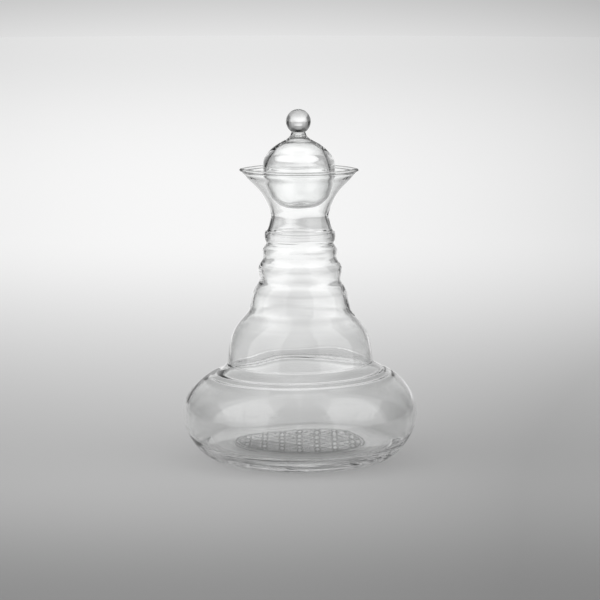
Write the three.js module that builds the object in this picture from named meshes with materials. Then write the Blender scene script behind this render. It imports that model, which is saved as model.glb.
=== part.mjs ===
// A mouth-blown glass carafe, standing empty with its stopper in.
//
// The carafe is one piece of glass: a squat bulb on a flat foot ring, a bell of soft rings that
// narrows to the throat, and a mouth drawn out into two pouring lips. The stopper is two pieces of
// glass that were joined hot: a hollow globe that rests in the mouth like a ball in a cup, and the
// solid ball on top of it that a hand lifts it by.
//
// Millimetres, +Z up. The origin is on the table, under the middle of the foot. The two pouring
// lips point along -X and +X, and the rest is round about Z.

import * as THREE from "three";

// Foot
const FOOT_RADIUS = 60; // outer edge of the flat ring that the carafe stands on
const FOOT_RING_WIDTH = 10;
const PUNT_DEPTH = 3.5; // how far the underside rises inside the foot ring
const PUNT_EDGE_WIDTH = 2; // the slope between the ring and the raised underside
const FLOOR_WALL = 8; // glass between the raised underside and the floor inside

// Bulb
const BULB_RADIUS = 87.5; // at its widest
const BULB_WIDEST_HEIGHT = 35.3;
const BULB_WALL = 2.4; // where the bulb is widest
const BULB_ROUNDNESS = 1.8; // exponent of the bulb's curves: 2 is an ellipse, less is more pointed
const FLOOR_RADIUS = 72; // the flat of the floor inside, before the heel curves up

// Shoulder, from the bulb's widest ring in to the bell
const SHOULDER_RISE = 33.5; // from the widest ring to where the shoulder would run level
const SHOULDER_LEVEL_RADIUS = 52; // radius at which it would run level
const SHOULDER_EDGE_RADIUS = 66; // where the shoulder gives way to the bell's flared foot
const SHOULDER_WALL = 2.6;
// The corner that the flare bends about, as shares of its width and of its rise
const FLARE_CORNER_OUT = 0.27;
const FLARE_CORNER_UP = 0.5;

// Rings of the bell, from its flared foot up to the throat: how far each one lies above the
// ring before it (the first above the shoulder's level), the outer radius there, and the wall
const BELL_FOOT = { rise: 4, radius: 54.4, wall: 2.6 };
const BELL_RINGS = [
  { rise: 8.5, radius: 53.4, wall: 2.6 },
  { rise: 8, radius: 52.1, wall: 2.6 },
  { rise: 6, radius: 49.9, wall: 2.6 },
  { rise: 5.5, radius: 46.4, wall: 2.6 },
  { rise: 6.2, radius: 41.4, wall: 2.6 },
  { rise: 4.5, radius: 38.1, wall: 2.4 },
  { rise: 6, radius: 36.6, wall: 2.4 },
  { rise: 7.5, radius: 35.2, wall: 2.4 },
  { rise: 3.8, radius: 33.4, wall: 2.2 },
  { rise: 4.6, radius: 30.7, wall: 2.2 },
  { rise: 3.4, radius: 30.4, wall: 2.2 },
  { rise: 6, radius: 31.4, wall: 2.2 },
  { rise: 3.6, radius: 30, wall: 2 },
  { rise: 3, radius: 28, wall: 2 },
  { rise: 3, radius: 27.2, wall: 2 },
  { rise: 4.8, radius: 27.8, wall: 2 },
  { rise: 5, radius: 25, wall: 2 },
];

// The tooled ring round the neck, and the throat above it
const NECK_RING_RISE = 3; // from the groove under the ring to the ring's lower edge
const NECK_RING_RADIUS = 26.1;
const NECK_RING_HEIGHT = 5.4;
const NECK_RING_WALL = 2;
const NECK_RING_TOP_WALL = 3; // thicker, so the inside narrows gently to the neck
const NECK_RING_EDGE = 1.4; // the slope from the ring's upper edge to the neck
const NECK_RADIUS = 24.2;
const NECK_WALL = 2.4;
const THROAT_RISE = 10.3; // from the neck ring's slope to the narrowest place
const THROAT_RADIUS = 21.5;
const THROAT_WALL = 3.2;

// Rings of the mouth, from the throat to the rim. A ring is across (front to back) and along (from
// lip to lip) as half widths, each with its wall measured level
const MOUTH_RINGS = [
  { rise: 4.5, across: 22.1, along: 22.2, acrossWall: 3.2, alongWall: 3.2 },
  { rise: 5, across: 23.5, along: 24.1, acrossWall: 3.1, alongWall: 3.2 },
  { rise: 5, across: 25.3, along: 26.5, acrossWall: 3.1, alongWall: 3.2 },
  { rise: 4.5, across: 27, along: 29.4, acrossWall: 3.3, alongWall: 3.3 },
  { rise: 4.5, across: 28.3, along: 33.7, acrossWall: 3, alongWall: 3.2 },
  { rise: 4, across: 29.2, along: 37.6, acrossWall: 2.6, alongWall: 2.9 },
  { rise: 4, across: 29.7, along: 41.1, acrossWall: 1.8, alongWall: 2.2 },
];
const RIM_RISE = 3; // from the last mouth ring to the start of the rim's rounding
const RIM_ACROSS = 30;
const RIM_ALONG = 44.2;
const RIM_WALL = 2.6; // the rim's thickness, melted round in the fire

// Stopper globe
const GLOBE_RADIUS = 26.9;
const GLOBE_DEPTH = 29.2; // from the widest ring down to the flat underneath
const GLOBE_CROWN = 22.3; // from the widest ring up to the crown under the collar
const GLOBE_FLAT_RADIUS = 8;
const GLOBE_WALL = 3.4; // where the globe is widest
const GLOBE_FLOOR_WALL = 2.4;
const GLOBE_CROWN_WALL = 1.5;
const CROWN_ROUNDNESS = 1.87; // as the bulb's, for the globe above its widest ring
const HOLLOW_TIP_RADIUS = 2.8; // the end of the hollow, drawn up into the collar
const HOLLOW_TIP_WALL = 1.6; // glass between that end and the collar's top
const VENT_RADIUS = 1.5; // the small hole left underneath, where the pipe came off
const COLLAR_RADIUS = 5.7;
const COLLAR_RISE = 3.1; // from the crown to the collar's top
const COLLAR_SLOPE = 2; // how much of that rise is the slope that runs out into the globe

// Stopper knob
const KNOB_RADIUS = 9.25;
const KNOB_NECK_RADIUS = 5; // where the ball meets the collar
const KNOB_NECK_HEIGHT = 0.9;

// Clearances
const SEAT_CLEARANCE = 0.3; // between the globe and the mouth that it rests in
const JOINT_CLEARANCE = 0.3; // between the collar and the knob

// Facets
const CARAFE_SIDES = 36;
const GLOBE_SIDES = 32;
const KNOB_SIDES = 24;
const HEEL_STEPS = 7;
const SHOULDER_STEPS = 6;
const FLARE_STEPS = 5;
const RING_STEP = 3.1; // the longest step up the outside of the bell and the mouth
const INSIDE_STEP = 6.5; // the longest step down the inside
const GLOBE_STEPS = 6;
const KNOB_STEPS = 12;

// A point of a half section: its radius front to back, its radius from lip to lip, and its height.
function section(across, along, height) {
  return { across, along, height };
}

function roundSection(radius, height) {
  return section(radius, radius, height);
}

// A curve that starts upright at (radius, height) and would run level after it has gone in by
// `inward` and up or down by `rise`. It stops early at the radius `edge`.
function roundedCorner({ radius, height, inward, rise, exponent, edge, steps }) {
  const level = radius - inward;
  const lastTurn = Math.acos(((edge - level) / inward) ** (exponent / 2));
  const points = [];
  for (let step = 0; step <= steps; step += 1) {
    const turn = (lastTurn * step) / steps;
    const out = Math.cos(turn) ** (2 / exponent);
    const up = Math.sin(turn) ** (2 / exponent);
    points.push(new THREE.Vector2(level + inward * out, height + rise * up));
  }
  return points;
}

// A smooth curve of one width against height through the rings, with the slope at each ring taken
// from the rings on both sides of it.
function smoothWidth(rings, widthOf) {
  const slopes = rings.map((ring, index) => {
    const below = rings[Math.max(index - 1, 0)];
    const above = rings[Math.min(index + 1, rings.length - 1)];
    return (widthOf(above) - widthOf(below)) / (above.height - below.height);
  });
  return (height) => {
    let index = 0;
    while (index < rings.length - 2 && height > rings[index + 1].height) {
      index += 1;
    }
    const low = rings[index];
    const high = rings[index + 1];
    const span = high.height - low.height;
    const t = (height - low.height) / span;
    const bend = t * t * (3 - 2 * t);
    const leave = t * (1 - t) * (1 - t) * span * slopes[index];
    const arrive = t * t * (1 - t) * span * slopes[index + 1];
    return widthOf(low) * (1 - bend) + widthOf(high) * bend + leave - arrive;
  };
}

// Every ring from the bell's foot to the rim, with its height, its outer half widths and its walls.
function stackRings() {
  const levelHeight = BULB_WIDEST_HEIGHT + SHOULDER_RISE;
  const bell = [BELL_FOOT, ...BELL_RINGS];
  const neck = [
    { rise: NECK_RING_RISE, radius: NECK_RING_RADIUS, wall: NECK_RING_WALL },
    { rise: NECK_RING_HEIGHT, radius: NECK_RING_RADIUS, wall: NECK_RING_TOP_WALL },
    { rise: NECK_RING_EDGE, radius: NECK_RADIUS, wall: NECK_WALL },
    { rise: THROAT_RISE, radius: THROAT_RADIUS, wall: THROAT_WALL },
  ];
  const roundRings = [...bell, ...neck].map(({ rise, radius, wall }) => ({
    rise,
    across: radius,
    along: radius,
    acrossWall: wall,
    alongWall: wall,
  }));
  const rim = {
    rise: RIM_RISE,
    across: RIM_ACROSS,
    along: RIM_ALONG,
    acrossWall: RIM_WALL,
    alongWall: RIM_WALL,
  };
  let height = levelHeight;
  const rings = [...roundRings, ...MOUTH_RINGS, rim].map((ring) => {
    height += ring.rise;
    return { ...ring, height };
  });
  return { rings, throat: rings[roundRings.length - 1], rim: rings[rings.length - 1] };
}

// Heights from one ring to the next, with each gap between rings cut into equal steps.
function stepHeights(rings, longestStep) {
  const heights = [rings[0].height];
  for (let index = 1; index < rings.length; index += 1) {
    const low = rings[index - 1].height;
    const high = rings[index].height;
    const steps = Math.max(1, Math.ceil((high - low) / longestStep));
    for (let step = 1; step <= steps; step += 1) {
      heights.push(low + ((high - low) * step) / steps);
    }
  }
  return heights;
}

// The flare between the shoulder and the bell, as a short curve about a corner near the bell.
function flare(shoulderEnd, bellFoot) {
  const corner = new THREE.Vector2(
    bellFoot.x + (shoulderEnd.x - bellFoot.x) * FLARE_CORNER_OUT,
    shoulderEnd.y + (bellFoot.y - shoulderEnd.y) * FLARE_CORNER_UP,
  );
  const curve = new THREE.QuadraticBezierCurve(shoulderEnd, corner, bellFoot);
  return curve.getPoints(FLARE_STEPS).slice(1, -1);
}

// The carafe's half section, from the middle of the underside, up the outside, over the rim and
// down the inside to the middle of the floor.
function carafeOutline({ rings, rim }) {
  const outside = {
    across: smoothWidth(rings, (ring) => ring.across),
    along: smoothWidth(rings, (ring) => ring.along),
  };
  const inside = {
    across: smoothWidth(rings, (ring) => ring.across - ring.acrossWall),
    along: smoothWidth(rings, (ring) => ring.along - ring.alongWall),
  };
  const at = ({ across, along }) => (height) => section(across(height), along(height), height);
  const turned = (points) => points.map(({ x, y }) => roundSection(x, y));

  const ringInner = FOOT_RADIUS - FOOT_RING_WIDTH;
  const underside = [
    roundSection(0, PUNT_DEPTH),
    roundSection(ringInner - PUNT_EDGE_WIDTH, PUNT_DEPTH),
    roundSection(ringInner, 0),
  ];
  const heel = roundedCorner({
    radius: BULB_RADIUS,
    height: BULB_WIDEST_HEIGHT,
    inward: BULB_RADIUS - FOOT_RADIUS,
    rise: -BULB_WIDEST_HEIGHT,
    exponent: BULB_ROUNDNESS,
    edge: FOOT_RADIUS,
    steps: HEEL_STEPS,
  }).reverse();
  const shoulder = roundedCorner({
    radius: BULB_RADIUS,
    height: BULB_WIDEST_HEIGHT,
    inward: BULB_RADIUS - SHOULDER_LEVEL_RADIUS,
    rise: SHOULDER_RISE,
    exponent: BULB_ROUNDNESS,
    edge: SHOULDER_EDGE_RADIUS,
    steps: SHOULDER_STEPS,
  });
  const bellFoot = new THREE.Vector2(rings[0].across, rings[0].height);
  const outerFlare = flare(shoulder[shoulder.length - 1], bellFoot);
  const rise = stepHeights(rings, RING_STEP).map(at(outside));

  const crown = section(
    rim.across - rim.acrossWall / 2,
    rim.along - rim.alongWall / 2,
    rim.height + RIM_WALL / 2,
  );

  const floorHeight = PUNT_DEPTH + FLOOR_WALL;
  const insideRadius = BULB_RADIUS - BULB_WALL;
  const innerHeel = roundedCorner({
    radius: insideRadius,
    height: BULB_WIDEST_HEIGHT,
    inward: insideRadius - FLOOR_RADIUS,
    rise: floorHeight - BULB_WIDEST_HEIGHT,
    exponent: BULB_ROUNDNESS,
    edge: FLOOR_RADIUS,
    steps: HEEL_STEPS,
  });
  const innerShoulder = roundedCorner({
    radius: insideRadius,
    height: BULB_WIDEST_HEIGHT,
    inward: insideRadius - SHOULDER_LEVEL_RADIUS,
    rise: SHOULDER_RISE - SHOULDER_WALL,
    exponent: BULB_ROUNDNESS,
    edge: SHOULDER_EDGE_RADIUS - SHOULDER_WALL,
    steps: SHOULDER_STEPS,
  });
  const innerFoot = new THREE.Vector2(rings[0].across - rings[0].acrossWall, rings[0].height);
  const innerFlare = flare(innerShoulder[innerShoulder.length - 1], innerFoot).reverse();
  const fall = stepHeights(rings, INSIDE_STEP).map(at(inside)).reverse();

  return [
    ...underside,
    ...turned(heel.slice(0, -1)),
    ...turned(shoulder),
    ...turned(outerFlare),
    ...rise,
    crown,
    ...fall,
    ...turned(innerFlare),
    ...turned(innerShoulder.reverse().slice(0, -1)),
    ...turned(innerHeel),
    roundSection(0, floorHeight),
  ];
}

// The radius, at an angle from the lips, of a ring that is an ellipse where `point` is 0 and the
// pointed shape between two arcs where `point` is 1.
function planRadius(across, along, angle, point) {
  const out = Math.cos(angle) ** 2;
  const sideways = Math.abs(Math.sin(angle));
  const ellipse = (across * along) / Math.sqrt(across ** 2 * out + (along * sideways) ** 2);
  const arcRadius = (along ** 2 + across ** 2) / (2 * across);
  const arcOffset = arcRadius - across;
  const lens = Math.sqrt(arcRadius ** 2 - arcOffset ** 2 * out) - arcOffset * sideways;
  return ellipse * (1 - point) + lens * point;
}

// Turns a half section about Z. A section that is wider along than across gets its plan shape, which
// grows more pointed from the throat to the rim.
function turn(outline, sides, pointAt = () => 0) {
  const points = outline.map(({ across, height }) => new THREE.Vector2(across, height));
  const geometry = new THREE.LatheGeometry(points, sides).rotateX(Math.PI / 2);
  const position = geometry.getAttribute("position");
  for (let index = 0; index < position.count; index += 1) {
    const { across, along, height } = outline[index % outline.length];
    if (along > across) {
      const angle = Math.atan2(position.getY(index), position.getX(index));
      const radius = planRadius(across, along, angle, pointAt(height));
      position.setXY(index, radius * Math.cos(angle), radius * Math.sin(angle));
    }
  }
  geometry.computeVertexNormals();
  return geometry;
}

function makeCarafe(stack) {
  const { throat, rim } = stack;
  const pointAt = (height) => THREE.MathUtils.smoothstep(height, throat.height, rim.height);
  return turn(carafeOutline(stack), CARAFE_SIDES, pointAt);
}

// The globe's half section from the middle of the collar's top, down the outside, through the vent
// and up the cavity. Heights are from the flat underneath.
function globeOutline() {
  const equator = GLOBE_DEPTH;
  const lower = (radius, wall) =>
    roundedCorner({
      radius,
      height: equator,
      inward: radius - GLOBE_FLAT_RADIUS,
      rise: wall - equator,
      exponent: 2,
      edge: GLOBE_FLAT_RADIUS,
      steps: GLOBE_STEPS,
    });
  const upper = (radius, crown, edge) =>
    roundedCorner({
      radius,
      height: equator,
      inward: radius,
      rise: crown,
      exponent: CROWN_ROUNDNESS,
      edge,
      steps: GLOBE_STEPS,
    });
  const collarTop = equator + GLOBE_CROWN + COLLAR_RISE;
  const collarFoot = equator + GLOBE_CROWN + COLLAR_SLOPE;
  const cavityRadius = GLOBE_RADIUS - GLOBE_WALL;
  const outside = [
    ...lower(GLOBE_RADIUS, 0).reverse().slice(0, -1),
    ...upper(GLOBE_RADIUS, GLOBE_CROWN, COLLAR_RADIUS * 1.5),
    new THREE.Vector2(COLLAR_RADIUS, collarFoot),
    new THREE.Vector2(COLLAR_RADIUS, collarTop),
    new THREE.Vector2(0, collarTop),
  ];
  const cavity = [
    new THREE.Vector2(VENT_RADIUS, GLOBE_FLOOR_WALL),
    ...lower(cavityRadius, GLOBE_FLOOR_WALL).reverse().slice(0, -1),
    ...upper(cavityRadius, GLOBE_CROWN - GLOBE_CROWN_WALL, HOLLOW_TIP_RADIUS * 1.5),
    new THREE.Vector2(HOLLOW_TIP_RADIUS, collarFoot - GLOBE_CROWN_WALL / 2),
    new THREE.Vector2(HOLLOW_TIP_RADIUS, collarTop - HOLLOW_TIP_WALL),
    new THREE.Vector2(0, collarTop - HOLLOW_TIP_WALL),
  ];
  const vent = new THREE.Vector2(VENT_RADIUS, 0);
  const loop = [...cavity.reverse(), vent, ...outside];
  return loop.map(({ x, y }) => roundSection(Math.max(x, 0), y));
}

// How high the globe's flat lies when the globe first touches the mouth all round, less the seat's
// clearance: the highest place that any ring of the globe needs to find the mouth wide enough.
function seatHeight({ rings, throat, rim }, outline) {
  const bore = smoothWidth(rings, (ring) => ring.across - ring.acrossWall);
  const scanStep = 0.02;
  let flat = 0;
  for (const { across: radius, height } of outline) {
    const needed = radius + SEAT_CLEARANCE;
    let level = throat.height;
    while (level < rim.height && bore(level) < needed) {
      level += scanStep;
    }
    if (level > throat.height) {
      flat = Math.max(flat, level - height);
    }
  }
  return flat;
}

// The knob's half section, from the middle of the face that sits on the collar to the top.
function knobOutline() {
  const lowest = Math.asin(KNOB_NECK_RADIUS / KNOB_RADIUS);
  const centre = KNOB_NECK_HEIGHT + KNOB_RADIUS * Math.cos(lowest);
  const points = [roundSection(0, 0), roundSection(KNOB_NECK_RADIUS, 0)];
  for (let step = 0; step <= KNOB_STEPS; step += 1) {
    const angle = lowest + ((Math.PI - lowest) * step) / KNOB_STEPS;
    const radius = step === KNOB_STEPS ? 0 : KNOB_RADIUS * Math.sin(angle);
    points.push(roundSection(radius, centre - KNOB_RADIUS * Math.cos(angle)));
  }
  return points;
}

// Clear glass, with the faint green that shows only where it is thick.
function clearGlass() {
  return new THREE.MeshStandardMaterial({
    color: 0xeef3f1,
    roughness: 0.03,
    metalness: 0,
    transparent: true,
    opacity: 0.35,
  });
}

function makePiece(name, geometry, height) {
  const piece = new THREE.Mesh(geometry, clearGlass());
  piece.name = name;
  piece.position.z = height;
  return piece;
}

const stack = stackRings();
const globe = globeOutline();
const flatHeight = seatHeight(stack, globe);
const collarTop = flatHeight + GLOBE_DEPTH + GLOBE_CROWN + COLLAR_RISE;

const stopper = new THREE.Group();
stopper.add(makePiece("stopper_globe", turn(globe, GLOBE_SIDES), flatHeight));
stopper.add(makePiece("stopper_knob", turn(knobOutline(), KNOB_SIDES), collarTop + JOINT_CLEARANCE));

const carafe = new THREE.Group();
carafe.add(makePiece("carafe_body", makeCarafe(stack), 0));
carafe.add(stopper);

export default carafe;
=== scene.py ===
"""Visual model of a mouth-blown glass carafe with its stopper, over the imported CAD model.

Every size of the glass is in millimetres and becomes metres when a mesh or a material is made,
and the studio's sizes are in metres. The carafe's pouring lips point along -X and +X, the camera
looks along +Y, and the table is at height 0.
"""

import logging
import math
from dataclasses import dataclass, field
from enum import Enum

import bpy
import numpy as np
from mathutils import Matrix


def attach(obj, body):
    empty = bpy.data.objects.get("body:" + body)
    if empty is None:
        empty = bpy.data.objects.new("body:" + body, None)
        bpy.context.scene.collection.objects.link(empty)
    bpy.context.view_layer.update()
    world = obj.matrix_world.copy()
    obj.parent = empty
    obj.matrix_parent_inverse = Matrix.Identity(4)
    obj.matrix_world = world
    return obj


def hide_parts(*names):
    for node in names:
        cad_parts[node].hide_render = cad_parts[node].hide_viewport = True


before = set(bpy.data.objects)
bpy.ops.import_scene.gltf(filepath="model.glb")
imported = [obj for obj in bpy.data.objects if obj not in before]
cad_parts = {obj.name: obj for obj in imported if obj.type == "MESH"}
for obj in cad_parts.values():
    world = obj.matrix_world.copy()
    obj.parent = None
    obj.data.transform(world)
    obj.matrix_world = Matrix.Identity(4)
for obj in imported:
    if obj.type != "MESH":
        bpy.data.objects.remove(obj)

log = logging.getLogger("carafe")

MM = 0.001
IMAGE_SIDE = 600
SENSOR = 36.0
THINNEST = 1e-6  # a ring's formula would divide by nothing if a half width were less
ROUND = 1e-9  # a ring is round where its half widths differ by less
RAMP_TOP = 2.0  # a colour ramp holds levels of 0 to 1, so brighter lights are kept as shares of this

Array = np.ndarray
Pair = tuple[float, float]
Colour = tuple[float, float, float, float]
Wave = tuple[float, int, float, float]
Ring = tuple[float, float, float]
MouthRing = tuple[float, float, float, float, float]


class Light(Enum):
    """A part of the studio's light, by where it stands round the carafe."""

    GLOW = "glow"
    WING = "wing"
    FLANK = "flank"
    FLAG = "flag"
    EDGE = "edge"
    SOFTBOX = "softbox"
    FRONT = "front"


# Curves


def ease(value: Array, start: float, end: float) -> Array:
    """Rise smoothly from 0 at start to 1 at end, as 3t^2 - 2t^3.

    Args:
        value: Where to read the curve.
        start: Where it leaves 0.
        end: Where it reaches 1.

    Returns:
        The curve's values, 0 before start and 1 after end.
    """
    t = np.clip((value - start) / (end - start), 0.0, 1.0)
    return t * t * (3.0 - 2.0 * t)


def rounded_corner(
    radius: float, height: float, inward: float, rise: float, exponent: float, edge: float, steps: int
) -> tuple[Array, Array]:
    """Work out a quarter of a rounded square, upright at its start and level where it would end.

    With t from 0 to a quarter turn, radius = level + inward * cos(t)^(2/n) and
    height = height + rise * sin(t)^(2/n), where level is the radius less inward.

    Args:
        radius: Radius at the start.
        height: Height at the start.
        inward: How far the full quarter goes in.
        rise: How far it goes up, or down where negative.
        exponent: The n of the formula: 2 is an ellipse, more is squarer.
        edge: Radius at which the curve stops early.
        steps: Number of points.

    Returns:
        The radii and the heights.
    """
    level = radius - inward
    last = math.acos(((edge - level) / inward) ** (exponent / 2))
    t = np.linspace(0.0, last, steps)
    return level + inward * np.cos(t) ** (2 / exponent), height + rise * np.abs(np.sin(t)) ** (2 / exponent)


def bend(start: Pair, corner: Pair, end: Pair, steps: int) -> tuple[Array, Array]:
    """Work out a quadratic Bezier curve between two points, without the points themselves.

    Args:
        start: Radius and height where it starts.
        corner: The corner that pulls it.
        end: Radius and height where it ends.
        steps: Number of points.

    Returns:
        The radii and the heights.
    """
    t = np.linspace(0.0, 1.0, steps + 2)[1:-1, None]
    points = (1 - t) ** 2 * np.array(start) + 2 * t * (1 - t) * np.array(corner) + t * t * np.array(end)
    return points[:, 0], points[:, 1]


def smooth_width(at: Array, widths: Array, heights: Array) -> Array:
    """Read a smooth curve of width against height through rings.

    Between two rings it is the cubic with the ring's own slopes, and a ring's slope is the rise over
    run between its neighbours.

    Args:
        at: Heights to read it at.
        widths: Width of each ring.
        heights: Height of each ring, in rising order.

    Returns:
        The widths.
    """
    slopes = np.gradient(widths, heights)
    slopes[1:-1] = (widths[2:] - widths[:-2]) / (heights[2:] - heights[:-2])
    low = np.clip(np.searchsorted(heights, at) - 1, 0, len(heights) - 2)
    span = heights[low + 1] - heights[low]
    t = (at - heights[low]) / span
    blend = t * t * (3 - 2 * t)
    leave = t * (1 - t) ** 2 * span * slopes[low]
    arrive = t * t * (1 - t) * span * slopes[low + 1]
    return widths[low] * (1 - blend) + widths[low + 1] * blend + leave - arrive


@dataclass
class Section:
    """A half section: half widths across (front to back) and along (lip to lip), against height."""

    across: Array
    along: Array
    height: Array

    @classmethod
    def of(cls, radius: Array | tuple[float, ...], height: Array | tuple[float, ...]) -> "Section":
        """Make a round section."""
        radii = np.asarray(radius, dtype=float)
        return cls(radii, radii.copy(), np.asarray(height, dtype=float))

    @classmethod
    def level(cls, radius: Array | tuple[float, ...], height: float) -> "Section":
        """Make a round section whose points all lie at one height."""
        return cls.of(radius, np.full(len(radius), height))

    @classmethod
    def joined(cls, parts: list["Section"]) -> "Section":
        """Join sections end to end."""
        return cls(
            np.concatenate([part.across for part in parts]),
            np.concatenate([part.along for part in parts]),
            np.concatenate([part.height for part in parts]),
        )

    def part(self, start: int | None, end: int | None) -> "Section":
        """Cut points off either end."""
        return Section(self.across[start:end], self.along[start:end], self.height[start:end])

    def turned(self) -> "Section":
        """Reverse the order of the points."""
        return Section(self.across[::-1], self.along[::-1], self.height[::-1])


# Meshes


def metres(span: Pair) -> Pair:
    """Turn a pair of millimetres into metres."""
    return span[0] * MM, span[1] * MM


def add_object(name: str, data: bpy.types.ID | None) -> bpy.types.Object:
    """Add an object with this data, or an empty, to the scene."""
    added = bpy.data.objects.new(name, data)
    bpy.context.collection.objects.link(added)
    return added


def ring_quads(rows: int, sides: int) -> Array:
    """List the quads between neighbouring rings of points, each ring joined round.

    Args:
        rows: Number of rings.
        sides: Number of points in each ring.

    Returns:
        The numbers of each quad's four points.
    """
    row = np.arange(rows - 1)[:, None] * sides
    here = np.arange(sides)
    there = (here + 1) % sides
    corners = [row + here, row + there, row + sides + there, row + sides + here]
    return np.stack(corners, axis=-1).reshape(-1, 4)


def plan_radius(across: Array, along: Array, angle: Array, point: Array) -> Array:
    """Work out a ring's radius at an angle from the lips.

    The ring is the ellipse a*b / sqrt(a^2 cos^2 + b^2 sin^2) where point is 0. Where point is 1 it is
    the pointed shape between two arcs of radius R = (b^2 + a^2) / 2a whose middles lie R - a off the
    centre, and in between it is a mix of the two.

    Args:
        across: Half width front to back, a.
        along: Half width from lip to lip, b.
        angle: Angle from the lips.
        point: How pointed the ring is, 0 to 1.

    Returns:
        The radius.
    """
    out = np.cos(angle) ** 2
    sideways = np.abs(np.sin(angle))
    ellipse = across * along / np.sqrt(across**2 * out + (along * sideways) ** 2)
    arc = (along**2 + across**2) / (2 * across)
    offset = arc - across
    lens = np.sqrt(np.maximum(arc**2 - offset**2 * out, 0.0)) - offset * sideways
    return ellipse * (1 - point) + lens * point


@dataclass(frozen=True)
class HandWork:
    """The small faults of a piece made by hand and eye, as moves of its points."""

    lean: float = 1.2  # how far the top leans towards the left lip
    lean_start: float = 165.0
    lean_end: float = 255.0
    tilt: float = 0.019  # how steeply the shoulder rises towards the right lip
    tilt_in: Pair = (38.0, 60.0)  # heights between which the tilt sets in
    tilt_out: Pair = (72.0, 105.0)  # heights between which it dies out
    wander: float = 0.22  # how unevenly thick the wall is, seen from inside
    # Of each slow wave of the wander: its share, its count round Z, the rise over which it turns by a
    # radian, and its phase.
    waves: tuple[Wave, ...] = ((1.0, 2, 17.0, 0.0), (0.6, 3, -9.0, 1.0), (0.4, 5, 5.0, 2.0))
    wander_radius: float = 12.0  # radius within which the wander grows no more
    fold: float = 1.5  # how much deeper the shoulder's fold is on the left
    fold_height: float = 67.5
    fold_wide: float = 0.32  # reach of the deeper fold round Z, in radians
    fold_tall: float = 3.0
    fold_in: Pair = (45.0, 60.0)  # radii between which it sets in

    def apply(self, points: Array, inside: Array) -> Array:
        """Move the points of a grid.

        The lean shifts X by an eased step of height. The shoulder's tilt lifts Z in proportion to X,
        where an eased window of height lets it. The wall's wander scales the radius of inside
        points by a sum of slow waves in angle and height. The fold sinks points of the shoulder on
        the left by a bell curve of angle and height.

        Args:
            points: Grid of points, the last axis being X, Y and Z.
            inside: 1 where a row lies on the inside of the wall, 0 outside.

        Returns:
            The moved points.
        """
        x, y, z = points[..., 0], points[..., 1], points[..., 2]
        angle = np.arctan2(y, x)
        radius = np.hypot(x, y)
        waves = sum(
            share * np.sin(count * angle + z / rise + phase) for share, count, rise, phase in self.waves
        )
        wall = 1.0 - self.wander * waves * inside / np.maximum(radius, self.wander_radius)
        from_left = np.arctan2(np.sin(angle - math.pi), np.cos(angle - math.pi))
        sunk = np.exp(-((from_left / self.fold_wide) ** 2) - ((z - self.fold_height) / self.fold_tall) ** 2)
        shift = self.lean * ease(z, self.lean_start, self.lean_end)
        window = ease(z, *self.tilt_in) * (1.0 - ease(z, *self.tilt_out))
        lift = self.tilt * x * window - self.fold * sunk * ease(radius, *self.fold_in)
        return np.stack([x * wall - shift, y * wall, z + lift], axis=-1)


def turn(
    name: str, section: Section, sides: int, point: Array, hand: HandWork, inside: Array
) -> bpy.types.Object:
    """Turn a half section about Z into one closed mesh.

    The grid runs along the section in one direction and round Z in the other. The section starts and
    ends on the axis, where one point each closes the mesh.

    Args:
        name: Name of the new object.
        section: The half section, from one pole to the other.
        sides: Number of steps round Z.
        point: How pointed each ring is, 0 to 1.
        hand: The hand-made faults.
        inside: 1 for each ring that lies inside the wall.

    Returns:
        The object, at the origin.
    """
    angle = np.linspace(0.0, 2 * math.pi, sides, endpoint=False)[None]
    body = section.part(1, -1)
    across, along, height = body.across[:, None], body.along[:, None], body.height[:, None]
    widths = np.maximum(across, THINNEST), np.maximum(along, THINNEST)
    radius = np.where(along > across + ROUND, plan_radius(*widths, angle, point[1:-1, None]), across)
    height = np.broadcast_to(height, radius.shape)
    grid = np.stack([radius * np.cos(angle), radius * np.sin(angle), height], axis=-1)
    grid = hand.apply(grid, inside[1:-1, None])
    poles = np.array([[0.0, 0.0, section.height[0]], [0.0, 0.0, section.height[-1]]])[:, None]
    poles = hand.apply(poles, np.zeros((2, 1)))
    vertices = np.concatenate([grid.reshape(-1, 3), poles.reshape(-1, 3)]) * MM

    rows = len(body.height)
    quads = ring_quads(rows, sides)
    here = np.arange(sides)
    there = (here + 1) % sides
    first = np.stack([np.full(sides, rows * sides), there, here], axis=-1)
    last_row = (rows - 1) * sides
    last = np.stack([last_row + here, last_row + there, np.full(sides, rows * sides + 1)], axis=-1)

    mesh = bpy.data.meshes.new(name)
    loops = np.concatenate([quads.ravel(), first.ravel(), last.ravel()])
    starts = np.concatenate([np.arange(len(quads)) * 4, len(quads) * 4 + np.arange(2 * sides) * 3])
    mesh.vertices.add(len(vertices))
    mesh.vertices.foreach_set("co", vertices.ravel())
    mesh.loops.add(len(loops))
    mesh.loops.foreach_set("vertex_index", loops)
    mesh.polygons.add(len(starts))
    mesh.polygons.foreach_set("loop_start", starts)
    mesh.polygons.foreach_set("use_smooth", np.ones(len(starts), dtype=bool))
    mesh.update(calc_edges=True)
    mesh.validate()
    return add_object(name, mesh)


# Materials


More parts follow.
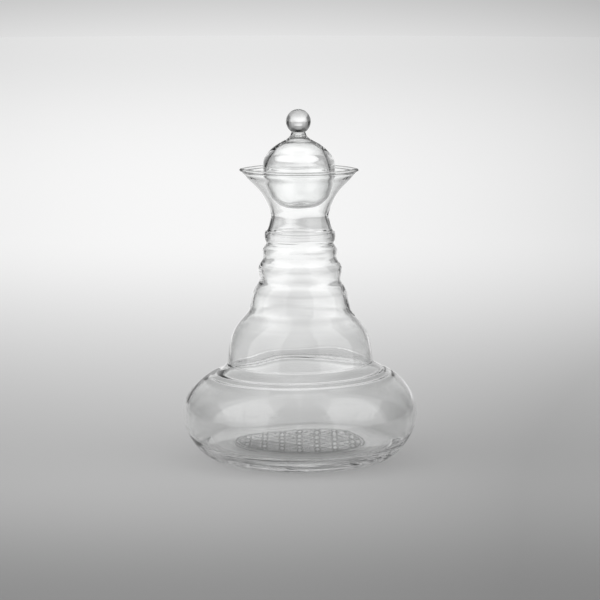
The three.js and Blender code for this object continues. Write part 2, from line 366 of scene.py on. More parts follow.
class Signal:
    """A shader value that Python's operators work on, each adding a Math node."""

    def __init__(self, kit: "NodeKit", socket: bpy.types.NodeSocket) -> None:
        """Wrap a socket."""
        self.kit = kit
        self.socket = socket

    def _math(self, operation: str, *values: "Signal | float") -> "Signal":
        """Add a Math node with these values in order."""
        return self.kit.node("ShaderNodeMath", {"operation": operation}, dict(enumerate(values))).out()

    def __add__(self, other: "Signal | float") -> "Signal":
        """Add."""
        return self._math("ADD", self, other)

    __radd__ = __add__

    def __sub__(self, other: "Signal | float") -> "Signal":
        """Subtract."""
        return self._math("SUBTRACT", self, other)

    def __rsub__(self, other: float) -> "Signal":
        """Subtract from a number."""
        return self._math("SUBTRACT", other, self)

    def __mul__(self, other: "Signal | float") -> "Signal":
        """Multiply."""
        return self._math("MULTIPLY", self, other)

    __rmul__ = __mul__

    def __truediv__(self, other: "Signal | float") -> "Signal":
        """Divide."""
        return self._math("DIVIDE", self, other)

    def __pow__(self, other: float) -> "Signal":
        """Raise to a power."""
        return self._math("POWER", self, other)

    def __abs__(self) -> "Signal":
        """Take the size without its sign."""
        return self._math("ABSOLUTE", self)

    def least(self, other: "Signal | float") -> "Signal":
        """Take the smaller of the two."""
        return self._math("MINIMUM", self, other)

    def most(self, other: "Signal | float") -> "Signal":
        """Take the larger of the two."""
        return self._math("MAXIMUM", self, other)

    def wrap(self, span: float) -> "Signal":
        """Start again from 0 at each whole span."""
        return self._math("WRAP", self, span, 0.0)

    def turn_from(self, other: "Signal | float") -> "Signal":
        """Take the angle whose tangent is this over the other, in degrees."""
        return self._math("ARCTAN2", self, other) * math.degrees(1.0)

    def step(self, start: float, end: float) -> "Signal":
        """Rise smoothly from 0 at start to 1 at end."""
        values = {0: self, 1: start, 2: end, 3: 0.0, 4: 1.0}
        return self.kit.node("ShaderNodeMapRange", {"interpolation_type": "SMOOTHSTEP"}, values).out()

    def between(self, low: float, high: float) -> "Signal":
        """Go from the first number to the second as this goes from 0 to 1."""
        return low - (low - high) * self

    def band(self, start: float, end: float, soft: float) -> "Signal":
        """Be 1 between start and end and 0 outside, with soft edges that lie half on each side."""
        return self.step(start - soft / 2, start + soft / 2) * (1 - self.step(end - soft / 2, end + soft / 2))


class Added:
    """A node that was added, whose outputs are read as signals."""

    def __init__(self, kit: "NodeKit", node: bpy.types.Node) -> None:
        """Wrap a node."""
        self.kit = kit
        self.node = node

    def out(self, name: str | int = 0) -> Signal:
        """Read one output."""
        return Signal(self.kit, self.node.outputs[name])


class NodeKit:
    """Adds nodes to one material."""

    def __init__(self, name: str) -> None:
        """Start a material with its Principled shader.

        Args:
            name: Name of the material.
        """
        self.material = bpy.data.materials.new(name)
        self.material.use_nodes = True
        self.tree = self.material.node_tree
        self.shader = self.tree.nodes["Principled BSDF"]

    def node(self, kind: str, settings: dict | None = None, values: dict | None = None) -> Added:
        """Add a node: its type, then its settings, then the values or links of its sockets.

        Args:
            kind: Blender's name of the node type.
            settings: Properties of the node. A list under "stops" fills a colour ramp with pairs of
                position and grey level.
            values: Numbers, tuples or signals by socket name or place.

        Returns:
            The node.
        """
        node = self.tree.nodes.new(kind)
        for key, value in (settings or {}).items():
            if key == "stops":
                elements = node.color_ramp.elements
                for _ in range(len(value) - len(elements)):
                    elements.new(1.0)
                for element, (position, level) in zip(elements, value):
                    element.position = position
                    element.color = (level, level, level, 1.0)
            else:
                setattr(node, key, value)
        for key, value in (values or {}).items():
            self.feed(node, key, value)
        return Added(self, node)

    def feed(self, node: bpy.types.Node, key: str | int, value: object) -> None:
        """Put a number or tuple on a socket, or link a signal to it."""
        if isinstance(value, Signal):
            self.tree.links.new(value.socket, node.inputs[key])
        else:
            node.inputs[key].default_value = value

    def finish(self, values: dict) -> bpy.types.Material:
        """Fill the shader's own sockets and return the material."""
        for key, value in values.items():
            self.feed(self.shader, key, value)
        return self.material

    def place(self) -> tuple[Signal, Signal, Signal, Signal]:
        """Read the place on the piece as a vector and as X, Y and Z, in metres."""
        vector = self.node("ShaderNodeTexCoord").out("Object")
        parts = self.node("ShaderNodeSeparateXYZ", None, {0: vector})
        return vector, parts.out("X"), parts.out("Y"), parts.out("Z")

    def noise(self, vector: Signal, stretch: tuple[float, float, float], detail: float) -> Signal:
        """Read a noise whose scale differs along X, Y and Z, in waves a metre."""
        scaled = self.node("ShaderNodeMapping", None, {"Vector": vector, "Scale": stretch}).out()
        values = {"Vector": scaled, "Scale": 1.0, "Detail": detail}
        return self.node("ShaderNodeTexNoise", None, values).out("Fac")

    def ramp(self, stops: tuple[Pair, ...], top: float, at: Signal, label: str) -> Signal:
        """Read a level off a list of stops.

        Args:
            stops: Place and level of each stop, in rising order.
            top: The place that the end of the ramp stands for.
            at: Where to read it.
            label: Label of the node.

        Returns:
            The level.
        """
        settings = {"stops": [(place / top, level / RAMP_TOP) for place, level in stops], "label": label}
        return self.node("ShaderNodeValToRGB", settings, {0: at / top}).out() * RAMP_TOP

    def mix(self, amount: Signal, dark: Colour | Signal, light: Colour) -> Signal:
        """Mix two colours."""
        return self.node("ShaderNodeMix", {"data_type": "RGBA"}, {0: amount, 6: dark, 7: light}).out(2)


@dataclass(frozen=True)
class Grain:
    """A noise that is as coarse in X as in Y."""

    around: float  # waves a metre in X and Y
    up: float  # waves a metre in Z
    detail: float
    height: float = 0.0  # where it stands as relief in the glass

    def read(self, kit: NodeKit, vector: Signal) -> Signal:
        """Read the noise at a place, from 0 to 1."""
        return kit.noise(vector, (self.around, self.around, self.up), self.detail)

    def relief(self, kit: NodeKit, vector: Signal) -> Signal:
        """Read the noise as a height in metres."""
        return self.read(kit, vector) * (self.height * MM)


@dataclass(frozen=True)
class Lattice:
    """The traditional pattern of overlapping circles, pressed in low relief in the floor's inside, with
    painted shade on its lines.
    """

    radius: float = 15.3  # of each circle, and from one middle to the next
    neighbours: int = 6
    line: float = 1.6
    line_top: float = 0.4  # share of a line's width that is level
    rings: Pair = (3.0, 3.16)  # radii of the two rings round the pattern, in radii of a circle
    ring_fade: float = 0.02
    floor: Pair = (10.8, 12.5)  # heights between which the floor's inside lies
    floor_edge: float = 0.2
    depth: float = 0.5
    flank: Colour = (0.02, 0.022, 0.021, 1.0)  # painted shade on its steep flanks: a dark tint that stands in for the dark lines refraction draws there

    def relief(self, kit: NodeKit, x: Signal, y: Signal, z: Signal) -> Signal:
        """Work out the relief as a height of 0 to 1.

        Middles lie on a lattice of equal triangles, read as two grids of rectangles, of which the one
        with the nearer middle counts. Seen from that middle, the lines near a point belong to the
        circles about its neighbours, so the distance to a line is the least | |p - c| - R |.

        Args:
            kit: The material's nodes.
            x: Place in X, in metres.
            y: Place in Y, in metres.
            z: Place in Z, in metres.

        Returns:
            The relief, 0 away from the lines and off the floor's inside.
        """
        unit = 1 / (self.radius * MM)
        tall = math.sqrt(3.0)
        # One row of middles runs along Y, so columns of crossings run away from the viewer.
        u, v = y * unit, x * unit
        own = self._cell(u, v, 0.0, tall)
        other = self._cell(u, v, 0.5, tall)
        sizes = {0: self._size(*other), 1: self._size(*own)}
        pick = kit.node("ShaderNodeMath", {"operation": "LESS_THAN"}, sizes).out()
        cell_u = own[0] * (1 - pick) + other[0] * pick
        cell_v = own[1] * (1 - pick) + other[1] * pick
        distance: Signal | None = None
        for number in range(self.neighbours):
            angle = math.radians(360 / self.neighbours * number)
            gap = abs(self._size(cell_u - math.cos(angle), cell_v - math.sin(angle)) - 1)
            distance = gap if distance is None else distance.least(gap)
        from_axis = self._size(u, v)
        width = self.line / self.radius / 2
        edge = width * self.line_top, width
        inside = 1 - from_axis.step(self.rings[0] - self.ring_fade, self.rings[0])
        lines = (1 - distance.step(*edge)) * inside
        inner, outer = (1 - abs(from_axis - ring).step(*edge) for ring in self.rings)
        floor = z.band(*metres(self.floor), self.floor_edge * MM)
        return lines.most(inner.most(outer)) * floor

    @staticmethod
    def _cell(u: Signal, v: Signal, shift: float, tall: float) -> tuple[Signal, Signal]:
        """Measure from the nearest middle of a grid of rectangles 1 wide and tall high."""
        return (u + (0.5 - shift)).wrap(1.0) - 0.5, (v + tall * (0.5 - shift)).wrap(tall) - tall / 2

    @staticmethod
    def _size(u: Signal, v: Signal) -> Signal:
        """Take the length of a pair."""
        return (u * u + v * v) ** 0.5


@dataclass(frozen=True)
class ClearGlass:
    """Clear blown glass: turned bands, slow waves, tool lines, streaks at the heel, a scuffed foot, and
    painted shade on the floor relief's lines.
    """

    index: float = 1.5
    light: Colour = (0.998, 1.0, 0.999, 1.0)
    dark: Colour = (0.985, 0.99, 0.988, 1.0)
    bands: Grain = Grain(18.0, 260.0, 2.0, 0.02)
    waves: Grain = Grain(60.0, 45.0, 1.0, 0.05)
    floor_waves: float = 0.2  # share of the waves that the floor has, which is the flattest part
    floor_end: Pair = (12.5, 20.0)  # heights between which the waves grow to the whole
    tooled: Grain = Grain(4.0, 720.0, 1.0, 0.012)  # fine lines that the tools left
    tooled_from: float = 95.0  # where the bell begins to narrow
    tooled_to: float = 178.0  # in the throat
    tooled_edge: float = 10.0
    streaks: Grain = Grain(13.0, 230.0, 0.6, 0.5)  # drawn out round the heel
    streaks_in: Pair = (66.0, 74.0)  # radii between which they set in
    streaks_out: Pair = (16.0, 34.0)  # heights between which they die out
    scuffs: Grain = Grain(900.0, 900.0, 3.0)
    scuffs_show: Pair = (0.35, 0.6)  # levels of the noise between which a scuff shows
    scuff: float = 0.22  # roughness of a scuff
    scuff_height: float = 0.4  # how far up the foot ring is scuffed

    def material(self, name: str, lattice: Lattice | None) -> bpy.types.Material:
        """Make the material.

        Args:
            name: Name of the material.
            lattice: The relief in the floor, if the piece has one.

        Returns:
            The material.
        """
        kit = NodeKit(name)
        vector, x, y, z = kit.place()
        waves = self.waves.read(kit, vector)
        calm = z.step(*metres(self.floor_end)).between(self.floor_waves, 1.0)
        tooled = z.band(self.tooled_from * MM, self.tooled_to * MM, self.tooled_edge * MM)
        radius = (x * x + y * y) ** 0.5
        heel = radius.step(*metres(self.streaks_in)) * (1 - z.step(*metres(self.streaks_out)))
        surface = self.bands.relief(kit, vector) + waves * calm * (self.waves.height * MM)
        surface = surface + self.tooled.relief(kit, vector) * tooled + self.streaks.relief(kit, vector) * heel
        colour = kit.mix(waves, self.dark, self.light)
        if lattice is not None:
            relief = lattice.relief(kit, x, y, z)
            surface = surface + relief * (lattice.depth * MM)
            # Painted shade: the relief's lines tint the glass nearly black, standing in for the dark lines
            # that refraction would draw there.
            colour = kit.mix(relief, colour, lattice.flank)
        bump = {"Strength": 1.0, "Distance": 1.0, "Height": surface}
        normal = kit.node("ShaderNodeBump", None, bump).out()
        foot = 1 - z.step(0.0, self.scuff_height * MM)
        worn = foot * self.scuffs.read(kit, vector).step(*self.scuffs_show)
        return kit.finish(
            {
                "Base Color": colour,
                "Roughness": worn * self.scuff,
                "IOR": self.index,
                "Transmission Weight": 1.0,
                "Normal": normal,
            }
        )


# The carafe


@dataclass
class Carafe:
    """The carafe's body, one piece of glass from the foot to the rim."""

    foot_radius: float = 60.0
    foot_ring_width: float = 10.0
    foot_flat: Pair = (2.0, 3.0)  # how far the level of the foot ring stops short of its edges
    foot_lip: float = 1.0  # of the rounding of its inner edge
    foot_lip_height: float = 0.8
    punt_depth: float = 3.5
    punt_edge_width: float = 3.5
    underside_radii: tuple[float, ...] = (0.0, 12.0, 24.0, 36.0)
    floor_wall: float = 8.0
    floor_radii: tuple[float, ...] = (66.0, 60.0, 54.0)
    bulb_radius: float = 87.5
    bulb_widest_height: float = 35.3
    bulb_wall: float = 2.4
    bulb_roundness: float = 1.8
    floor_radius: float = 72.0
    disc_radius: float = 47.2  # of the faintly domed disc that carries the relief
    disc_rise: float = 0.5
    disc_gap: float = 0.1  # from the disc's edge to the last ring of the plain floor
    disc_shares: tuple[float, ...] = (1.0, 0.999, 0.97, 0.9, 0.8, 0.7, 0.6, 0.5, 0.4, 0.3, 0.2, 0.1, 0.0)
    shoulder_rise: float = 33.5
    shoulder_level_radius: float = 52.0
    shoulder_edge_radius: float = 66.0
    shoulder_wall: float = 2.6
    flare_corner_out: float = 0.27  # the corner that the flare bends about, as shares of its width and rise
    flare_corner_up: float = 0.5
    # Radius and depth of the rings inside the shoulder where the folding drew the wall thinner.
    thin_rings: tuple[tuple[float, float], ...] = ((62.4, 0.62), (67.4, 0.45))
    thin_ring_width: float = 1.9
    # Rise above the ring before it, outer radius and wall of each ring of the bell and the neck.
    bell: tuple[Ring, ...] = (
        (4, 54.4, 2.6), (8.5, 53.4, 2.6), (8, 52.1, 2.6), (6, 49.9, 2.6), (5.5, 46.4, 2.6),
        (6.2, 41.4, 2.6), (4.5, 38.1, 2.4), (6, 36.6, 2.4), (7.5, 35.2, 2.4), (3.8, 33.4, 2.2),
        (4.6, 30.7, 2.2), (3.4, 30.4, 2.2), (6, 31.4, 2.2), (3.6, 30, 2.0), (3, 28, 2.0),
        (3, 27.2, 2.0), (4.8, 27.8, 2.0), (5, 25, 2.0),
    )  # fmt: skip
    neck: tuple[Ring, ...] = ((3, 26.1, 2.0), (5.4, 26.1, 3.0), (1.4, 24.2, 2.4), (10.3, 21.5, 3.2))
    # Rise, half widths across and along, and the walls across and along of each ring of the mouth.
    mouth: tuple[MouthRing, ...] = (
        (4.5, 22.1, 22.2, 3.2, 3.2), (5, 23.5, 24.1, 3.1, 3.2), (5, 25.3, 26.5, 3.1, 3.2),
        (4.5, 27, 29.4, 3.3, 3.3), (4.5, 28.3, 33.7, 3, 3.2), (4, 29.2, 37.6, 2.6, 2.9),
        (4, 29.7, 41.1, 1.8, 2.2), (3, 30, 44.2, 2.6, 2.6),
    )  # fmt: skip
    # The melted rim is a bead that stands proud of the wall below it, on both sides.
    bead_reach: float = 47.0  # degrees below level at which the bead meets the wall
    melt_height: float = 8.0  # how far below the rim the wall's unevenness begins to fade out
    edge_steps: int = 4
    corner_steps: int = 44
    flare_steps: int = 16
    wall_rows: int = 190
    rim_steps: int = 27
    sides: int = 152
    hand: HandWork = field(default_factory=HandWork)

    def stack(self) -> dict[str, Array]:
        """Stack the rings from the bell's foot to the rim.

        Returns:
            Arrays of each ring's height, outer half widths and inner half widths.
        """
        round_rings = [(rise, radius, radius, wall, wall) for rise, radius, wall in (*self.bell, *self.neck)]
        table = np.array([*round_rings, *self.mouth], dtype=float)
        height = self.bulb_widest_height + self.shoulder_rise + np.cumsum(table[:, 0])
        return {
            "height": height,
            "across": table[:, 1],
            "along": table[:, 2],
            "bore_across": table[:, 1] - table[:, 3],
            "bore_along": table[:, 2] - table[:, 4],
        }

    def _rise(self, rings: dict[str, Array], across: str, along: str, at: Array) -> Section:
        """Read the smooth wall through the rings at some heights."""
        height = rings["height"]
        return Section(smooth_width(at, rings[across], height), smooth_width(at, rings[along], height), at)

    def _bulb(self, wall: float, rise: float, edge: float) -> Section:
        """Work out the shoulder's curve from the widest ring in to the flare."""
        radius = self.bulb_radius - wall
        return self._quarter(radius, radius - self.shoulder_level_radius, rise, edge)

    def _quarter(self, radius: float, inward: float, rise: float, edge: float) -> Section:
        """Work out one quarter of the bulb's side from its widest ring in to an edge."""
        return Section.of(
            *rounded_corner(
                radius, self.bulb_widest_height, inward, rise, self.bulb_roundness, edge, self.corner_steps
            )
        )

    def _flare(self, shoulder: Section, foot: Section) -> Section:
        """Bend from the shoulder's end up into the bell's foot."""
        start = (shoulder.across[-1], shoulder.height[-1])
        end = (foot.across[0], foot.height[0])
        corner = (
            end[0] + (start[0] - end[0]) * self.flare_corner_out,
            start[1] + (end[1] - start[1]) * self.flare_corner_up,
        )
        return Section.of(*bend(start, corner, end, self.flare_steps))

    def section(self) -> tuple[Section, Array]:
        """Work out the half section from the underside, up the outside, over the rim and down inside.

        Returns:
            The section, and 1 for each of its points that lies inside the wall.
        """
        rings = self.stack()
        height = rings["height"]
        half = self.mouth[-1][3] / 2
        at = np.linspace(height[0], height[-1] - half, self.wall_rows)
        outer = self._outer(self._rise(rings, "across", "along", at))
        reach = math.radians(self.bead_reach)
        angle = np.linspace(-reach, math.pi + reach, self.rim_steps)
        rim = Section(
            rings["across"][-1] - half + half * np.cos(angle),
            rings["along"][-1] - half + half * np.cos(angle),
            height[-1] + half * np.sin(angle),
        )
        inner = self._inner(self._rise(rings, "bore_across", "bore_along", at))
        flags = np.concatenate([np.zeros(len(outer.height) + len(rim.height)), np.ones(len(inner.height))])
        # The wall's unevenness fades out at the rim, where it was melted round.
        whole = Section.joined([outer, rim, inner])
        return whole, flags * (1 - ease(whole.height, height[-1] - self.melt_height, height[-1]))

    def _outer(self, outside: Section) -> Section:
        """Work out the outside from the middle of the underside up to the rim.

        Args:
            outside: The wall above the shoulder, seen from outside.

        Returns:
            The section, in order.
        """
        inner_ring = self.foot_radius - self.foot_ring_width
        start, end = inner_ring - self.foot_lip, inner_ring + self.foot_lip
        recess = (inner_ring - self.punt_edge_width, self.punt_depth)
        low = (start, self.foot_lip_height)
        first, last = self.foot_flat
        heel = self._quarter(
            self.bulb_radius, self.bulb_radius - self.foot_radius, -self.bulb_widest_height, self.foot_radius
        )
        shoulder = self._bulb(0.0, self.shoulder_rise, self.shoulder_edge_radius)
        return Section.joined(
            [
                Section.level(self.underside_radii, self.punt_depth),
                Section.of(*bend(recess, (start, self.punt_depth), low, self.edge_steps)),
                Section.of(*bend(low, (start, 0.0), (end, 0.0), self.edge_steps)),
                Section.level((inner_ring + first, self.foot_radius - last), 0.0),
                heel.turned().part(None, -1),
                shoulder,
                self._flare(shoulder, outside),
                outside,
            ]
        )

    def _inner(self, inside: Section) -> Section:
        """Work out the inside from the rim down to the middle of the floor.

        Args:
            inside: The wall above the shoulder, seen from inside.

        Returns:
            The section, in order.
        """
        inner_shoulder = self._bulb(
            self.bulb_wall,
            self.shoulder_rise - self.shoulder_wall,
            self.shoulder_edge_radius - self.shoulder_wall,
        )
        floor = self.punt_depth + self.floor_wall
        radius = self.bulb_radius - self.bulb_wall
        inner_heel = self._quarter(
            radius, radius - self.floor_radius, floor - self.bulb_widest_height, self.floor_radius
        )
        disc = np.array(self.disc_shares)
        inner = Section.joined(
            [
                inside.turned(),
                self._flare(inner_shoulder, inside).turned(),
                inner_shoulder.turned().part(None, -1),
                inner_heel,
                Section.level((*self.floor_radii, self.disc_radius + self.disc_gap), floor),
                Section.of(self.disc_radius * disc, floor + self.disc_rise * (1 - disc**2)),
            ]
        )
        above = inner.height > self.bulb_widest_height
        for middle, depth in self.thin_rings:
            inner.height += depth * np.exp(-(((inner.across - middle) / self.thin_ring_width) ** 2)) * above
        return inner

    def build(self, glass: bpy.types.Material) -> bpy.types.Object:
        """Make the body's mesh and dress it.

        Args:
            glass: Its material.

        Returns:
            The finished piece.
        """
        rings = self.stack()
        section, inside = self.section()
        throat = rings["height"][len(self.bell) + len(self.neck) - 1]
        point = ease(section.height, throat, rings["height"][-1])
        piece = turn("carafe_glass_body", section, self.sides, point, self.hand, inside)
        piece.data.materials.append(glass)
        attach(piece, "carafe")
        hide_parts("carafe_body")
        return piece


@dataclass
class Stopper:
    """The hollow globe, its collar and the solid ball, joined hot into one piece of glass."""

    flat_height: float = 189.42
    globe_radius: float = 26.9
    globe_depth: float = 29.2
    globe_flat_radius: float = 8.0
    globe_wall: float = 3.4
    globe_floor_wall: float = 2.4
    floor_roundness: float = 2.0
    vent_radius: float = 1.5
    vent_lip: float = 0.3
    vent_floor_radius: float = 5.0
    # Height over the widest ring and radius of each ring, outside and in the hollow.
    crown: tuple[Pair, ...] = (
        (-4.2, 26.5), (0, 26.9), (4.2, 26.5), (6.6, 25.8), (8.7, 24.6), (11.2, 22.7), (13.4, 20.8),
        (15.6, 18.2), (17.9, 14.9), (20.1, 10.9), (22, 7.9), (23.8, 6.1), (25.2, 5.6), (26.4, 5.2),
    )  # fmt: skip
    hollow: tuple[Pair, ...] = (
        (-4.2, 22.95), (0, 23.4), (4.2, 22.8), (8, 20.9), (11.9, 18.3), (14, 16.7), (16.7, 14),
        (18.4, 11.9), (20.9, 7.6), (22.6, 4.9), (23.8, 3.2),
    )  # fmt: skip
    hollow_tip: float = 25.0
    knob_radius: float = 9.25
    knob_neck_radius: float = 5.0
    knob_top: float = 262.25
    tip_steps: int = 7
    corner_steps: int = 40
    wall_rows: int = 60
    ball_steps: int = 60
    sides: int = 200
    hand: HandWork = field(default_factory=HandWork)

    def section(self) -> tuple[Section, Array]:
        """Work out the half section from the hollow's top, out through the vent and up to the ball's top.

        Returns:
            The section, and 1 for each of its points that lies in the hollow.
        """
        hollow = self._upper(self.hollow)
        last_height, last_radius = hollow.height[-1], hollow.across[-1]
        peak = self.flat_height + self.globe_depth + self.hollow_tip
        arc = np.linspace(math.pi / 2, 0.0, self.tip_steps)[:-1]
        tip = Section.of(last_radius * np.cos(arc), last_height + (peak - last_height) * np.sin(arc))
        tip.across[0] = tip.along[0] = 0.0
        lower_hollow = self._lower(self.globe_wall, self.globe_floor_wall)
        inside = Section.joined([tip, hollow.turned(), lower_hollow.part(1, None)])
        vent = self._vent()
        lower = self._lower(0.0, 0.0)
        outside = Section.joined([lower.turned().part(None, -1), self._upper(self.crown), self._ball()])
        walls = np.zeros(len(vent.height) + len(outside.height))
        return Section.joined([inside, vent, outside]), np.concatenate([np.ones(len(inside.height)), walls])

    def _vent(self) -> Section:
        """Work out the vent, from the hollow's floor down to the flat underside."""
        width, lip = self.vent_radius, self.vent_lip
        floor, flat = self.flat_height + self.globe_floor_wall, self.flat_height
        return Section.of(
            (self.vent_floor_radius, width + lip, width, width, width + lip, self.vent_floor_radius),
            (floor, floor, floor - lip, flat + lip, flat, flat),
        )

    def _ball(self) -> Section:
        """Work out the ball, from where it meets the collar to its top."""
        lowest = math.asin(self.knob_neck_radius / self.knob_radius)
        angle = np.linspace(lowest, math.pi, self.ball_steps)
        centre = self.knob_top - self.knob_radius
        ball = Section.of(self.knob_radius * np.sin(angle), centre - self.knob_radius * np.cos(angle))
        ball.across[-1] = ball.along[-1] = 0.0
        return ball

    def _lower(self, wall: float, floor: float) -> Section:
        """Work out the globe below its widest ring, inside a wall and a floor of some thickness."""
        radius = self.globe_radius - wall
        return Section.of(
            *rounded_corner(
                radius, self.flat_height + self.globe_depth, radius - self.globe_flat_radius,
                floor - self.globe_depth, self.floor_roundness, self.globe_flat_radius, self.corner_steps,
            )
        )  # fmt: skip

    def _upper(self, rings: tuple[Pair, ...]) -> Section:
        """Read the smooth curve through rings, from the widest one up."""
        height, radius = np.array(rings).T
        at = np.linspace(0.0, height[-1], self.wall_rows)
        return Section.of(smooth_width(at, radius, height), self.flat_height + self.globe_depth + at)

    def build(self, glass: bpy.types.Material) -> bpy.types.Object:
        """Make the stopper's mesh and dress it.

        Args:
            glass: Its material.

        Returns:
            The finished piece.
        """
        section, inside = self.section()
        point = np.zeros(len(section.height))
        piece = turn("stopper_glass_globe_and_knob", section, self.sides, point, self.hand, inside)
        piece.data.materials.append(glass)
        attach(piece, "stopper")
        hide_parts("stopper_globe", "stopper_knob")
        return piece


# The studio


@dataclass(frozen=True)
class Panel:
    """A soft light from the table up, the same on the left and the right."""

    kind: Light
    start: float  # degrees round from straight behind the carafe
    end: float
    levels: tuple[Pair, ...]  # elevation in degrees, and the light there
    soft: float = 5.0


@dataclass
class Studio:
    """A pale table that runs back to a glow, dark at the sides, under soft lights.

    It is one round floor and one dome that turn with the camera, as if the carafe stood on a
    turntable.
    """

    camera_distance: float = 2.582
    camera_pitch: float = 8.9
    camera_aim: float = 0.1192
    focal_pixels: float = 3460.0
    dome_radius: float = 4.0
    table_drop: float = 0.0004
    table_grey: float = 0.22
    bounce: Pair = (0.185, 0.12)  # light that the dome throws on the table, by the carafe and far behind it
    bounce_span: Pair = (0.2, 3.0)
    table_in_front: float = 0.65  # light of the table below the picture's lower edge
    # Soft steps of the table's light on its way back: how much it gains, and between which places.
    table_steps: tuple[tuple[float, float, float], ...] = (
        (-0.36, -0.7, -0.47), (0.18, -0.47, -0.08), (0.49, -0.17, 1.22), (-0.19, 1.51, 4.13),
    )  # fmt: skip
    # Degrees round from straight behind, and how bright the table is there outside the picture.
    table_aside: tuple[Pair, ...] = (
        (0, 1.0), (24, 1.0), (34, 0.35), (40, 0.1), (66, 0.1), (86, 1.4), (110, 1.8), (180, 1.8),
    )  # fmt: skip
    aside_from: Pair = (0.09, 0.13)  # how far aside, as a share of the way from the camera, that begins
    # Extra light that the table's brightest part gives the glass, past the white of a photograph.
    over_exposed: float = 0.16
    over_exposed_from: Pair = (0.6, 0.95)
    shadow: float = 0.8  # share of the table's own light taken out by a painted shadow round the foot
    shadow_span: Pair = (0.035, 0.066)
    # The light's fall to the sides, straight and squared, by the carafe and far behind it.
    fan_straight: Pair = (2.8, 0.9)
    fan_squared: Pair = (30.0, 16.0)
    fan_span: Pair = (-0.2, 0.8)
    fan_nearest: float = 0.5  # way from the camera within which the fan opens no further
    table_least: float = 0.7  # share of the light that the table keeps at its sides
    dome_least: float = 0.8
    panels: tuple[Panel, ...] = (
        Panel(
            Light.GLOW, -10, 13,
            (
                (0, 0.76), (1.2, 0.59), (7, 0.88), (11.9, 0.88), (12.3, 0.45), (24, 0.35),
                (30, 0.0), (60, 0.0), (70, 0.8),
            ),
            9.0,
        ),
        Panel(
            Light.WING, 13, 25,
            ((0, 0.7), (9, 0.55), (17, 0.4), (26, 0.1), (50, 0.05), (60, 0.3), (70, 0.85)),
            9.0,
        ),
        Panel(
            Light.FLANK, 25, 38,
            ((0, 0.35), (7, 0.35), (24, 0.25), (32, 0.12), (42, 0.15), (50, 0.45), (60, 0.7), (70, 1.1)),
            9.0,
        ),
        Panel(
            Light.FLAG, 38, 73,
            ((0, 0.0), (12, 0.05), (24, 0.2), (32, 0.3), (38, 0.05), (50, 0.0), (60, 0.3), (70, 0.9)),
        ),
        Panel(Light.EDGE, 73, 86, ((0, 0.08), (12, 0.15), (36, 0.4), (50, 0.7), (60, 0.85), (70, 1.0))),
        Panel(
            Light.SOFTBOX, 86, 147,
            ((0, 1.25), (9, 1.35), (18, 1.6), (30, 1.7), (44, 1.8), (60, 1.9), (70, 1.5)),
            3.0,
        ),
        Panel(Light.FRONT, 147, 190, ((0, 0.4), (10, 0.6), (40, 0.6), (60, 0.75), (70, 1.05)), 3.0),
    )  # fmt: skip
    roof_from: float = 75.0
    roof_soft: float = 6.0
    roof: float = 1.05
    roof_behind: float = 0.5  # the extra light of the roof's back half
    roof_turn: Pair = (0.0, 0.1)
    bounces: int = 32  # of light through glass, and in all
    glossy_bounces: int = 16
    diffuse_bounces: int = 3
    sheet_sides: int = 96
    table_rings: int = 9
    dome_rings: int = 40

    def build(self) -> None:
        """Make the camera, the table and the dome, and set how light is traced."""
        scene = bpy.context.scene
        scene.view_settings.view_transform = "Standard"
        scene.cycles.max_bounces = self.bounces
        scene.cycles.transmission_bounces = self.bounces
        scene.cycles.glossy_bounces = self.glossy_bounces
        scene.cycles.diffuse_bounces = self.diffuse_bounces
        world = bpy.data.worlds.new("studio_world")
        world.use_nodes = True
        world.node_tree.nodes["Background"].inputs["Strength"].default_value = 0.0
        scene.world = world
        rig = self._rig(self._camera())
        flat = Section.level(np.linspace(0.0, self.dome_radius, self.table_rings), 0.0)
        angle = np.linspace(0.0, math.pi / 2, self.dome_rings)
        vault = Section.of(self.dome_radius * np.cos(angle), self.dome_radius * np.sin(angle))
        table = self._sheet("table", flat, self._table_paper())
        dome = self._sheet("dome", vault, self._dome_cloth())
        for sheet in (table, dome):
            sheet.location.z = -self.table_drop
            sheet.parent = rig

    def _camera(self) -> bpy.types.Object:
        """Place the camera in front of the carafe, a little above it."""
        pitch = math.radians(self.camera_pitch)
        camera = add_object("camera", bpy.data.cameras.new("camera"))
        camera.location = (
            0.0,
            -self.camera_distance * math.cos(pitch),
            self.camera_aim + self.camera_distance * math.sin(pitch),
        )
        camera.rotation_euler = (math.pi / 2 - pitch, 0.0, 0.0)
        camera.data.sensor_width = SENSOR
        camera.data.lens = SENSOR * self.focal_pixels / IMAGE_SIDE
        bpy.context.scene.camera = camera
        return camera

    @staticmethod
    def _rig(camera: bpy.types.Object) -> bpy.types.Object:
        """Make the turntable that keeps the studio square to the camera."""
        rig = add_object("studio_turntable", None)
        follow = rig.constraints.new("COPY_ROTATION")
        follow.target = camera
        follow.use_x = False
        follow.use_y = False
        return rig

    def _sheet(self, name: str, section: Section, paper: bpy.types.Material) -> bpy.types.Object:
        """Turn an open half section about Z, as rings of quads joined round."""
        angle = np.linspace(0.0, 2 * math.pi, self.sheet_sides, endpoint=False)
        radius = section.across[:, None]
        height = np.broadcast_to(section.height[:, None], (len(radius), self.sheet_sides))
        points = np.stack([radius * np.cos(angle), radius * np.sin(angle), height], axis=-1)
        mesh = bpy.data.meshes.new(name)
        quads = ring_quads(len(radius), self.sheet_sides)
        mesh.from_pydata(points.reshape(-1, 3).tolist(), [], quads.tolist())
        mesh.materials.append(paper)
        return add_object(name, mesh)

    def _fan(self, x: Signal, y: Signal) -> Signal:
        """Measure how far aside a place lies, as a share of its way from the camera."""
        return x / (y + self.camera_distance).most(self.fan_nearest)

    def _fade(self, x: Signal, y: Signal) -> Signal:
        """Fan the light out from in front: it fades to the right near by, and to both sides far off."""
        far = y.step(*self.fan_span)
        fan = self._fan(x, y)
        return 1 - fan * far.between(*self.fan_straight) - fan * fan * far.between(*self.fan_squared)

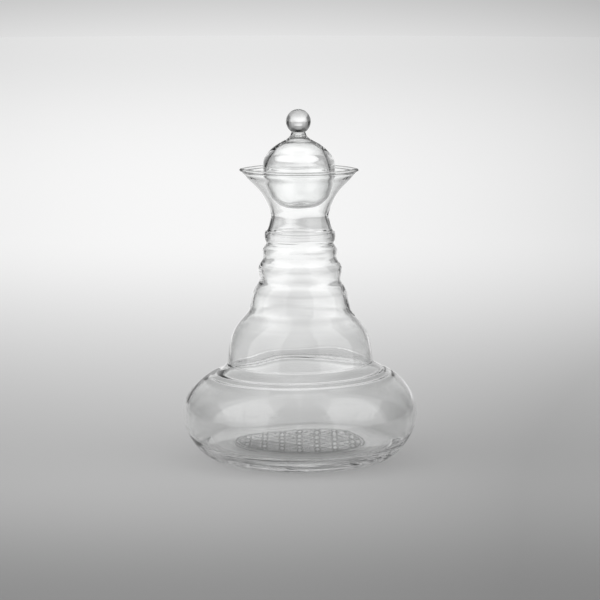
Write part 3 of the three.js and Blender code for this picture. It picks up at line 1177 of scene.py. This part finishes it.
    def _table_paper(self) -> bpy.types.Material:
        """Make the table's paper, whose light goes by depth and fades to the sides."""
        kit = NodeKit("studio_table")
        _, x, y, _ = kit.place()
        light: Signal | float = self.table_in_front
        for gain, start, end in self.table_steps:
            light = light + gain * y.step(start, end)
        unseen = 1 - kit.node("ShaderNodeLightPath").out("Is Camera Ray")
        light = light * (1 + unseen * light.step(*self.over_exposed_from) * self.over_exposed)
        bounce = y.step(*self.bounce_span).between(*self.bounce)
        beside = abs(self._fan(x, y)).step(*self.aside_from)
        around = kit.ramp(self.table_aside, 180.0, abs(x).turn_from(y), "aside")
        aside = 1 + beside * (around - 1)
        # Painted shadow: the table's emitted light is darkened in a disc round the carafe's foot.
        shade = 1 - self.shadow * (1 - ((x * x + y * y) ** 0.5).step(*self.shadow_span))
        share = self._fade(x, y).most(self.table_least) * aside * shade
        shaded = ((light - bounce) * share).most(0.0)
        grey = self.table_grey
        return kit.finish(
            {
                "Base Color": (grey, grey, grey, 1.0),
                "Roughness": 1.0,
                "Specular IOR Level": 0.0,
                "Emission Color": shaded,
                "Emission Strength": 1.0,
            }
        )

    def _dome_cloth(self) -> bpy.types.Material:
        """Make the dome: the panels round the carafe, and a soft roof over them."""
        kit = NodeKit("studio_dome")
        _, x, y, z = kit.place()
        azimuth = abs(x).turn_from(y)
        elevation = z.turn_from((x * x + y * y) ** 0.5)
        total: Signal | float = 0.0
        for panel in self.panels:
            level = kit.ramp(panel.levels, 90.0, elevation, panel.kind.value)
            total = total + level * azimuth.band(panel.start, panel.end, panel.soft)
        cover = elevation.step(self.roof_from - self.roof_soft / 2, self.roof_from + self.roof_soft / 2)
        roof = self.roof + self.roof_behind * y.step(*self.roof_turn)
        light = total * (1 - cover) + roof * cover
        return kit.finish(
            {
                "Base Color": (0.0, 0.0, 0.0, 1.0),
                "Roughness": 1.0,
                "Specular IOR Level": 0.0,
                "Emission Color": light * self._fade(x, y).most(self.dome_least),
                "Emission Strength": 1.0,
            }
        )


def main() -> None:
    """Build the studio, the carafe and the stopper, and note the model's size."""
    logging.basicConfig(level=logging.INFO, format="%(name)s: %(message)s")
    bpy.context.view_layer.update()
    Studio().build()
    finish = ClearGlass()
    pieces = [
        Carafe().build(finish.material("carafe_clear_glass", Lattice())),
        Stopper().build(finish.material("stopper_clear_glass", None)),
    ]
    for piece in pieces:
        triangles = sum(len(face.vertices) - 2 for face in piece.data.polygons)
        log.info("%s: %d triangles", piece.name, triangles)


if __name__ == "__main__":
    main()
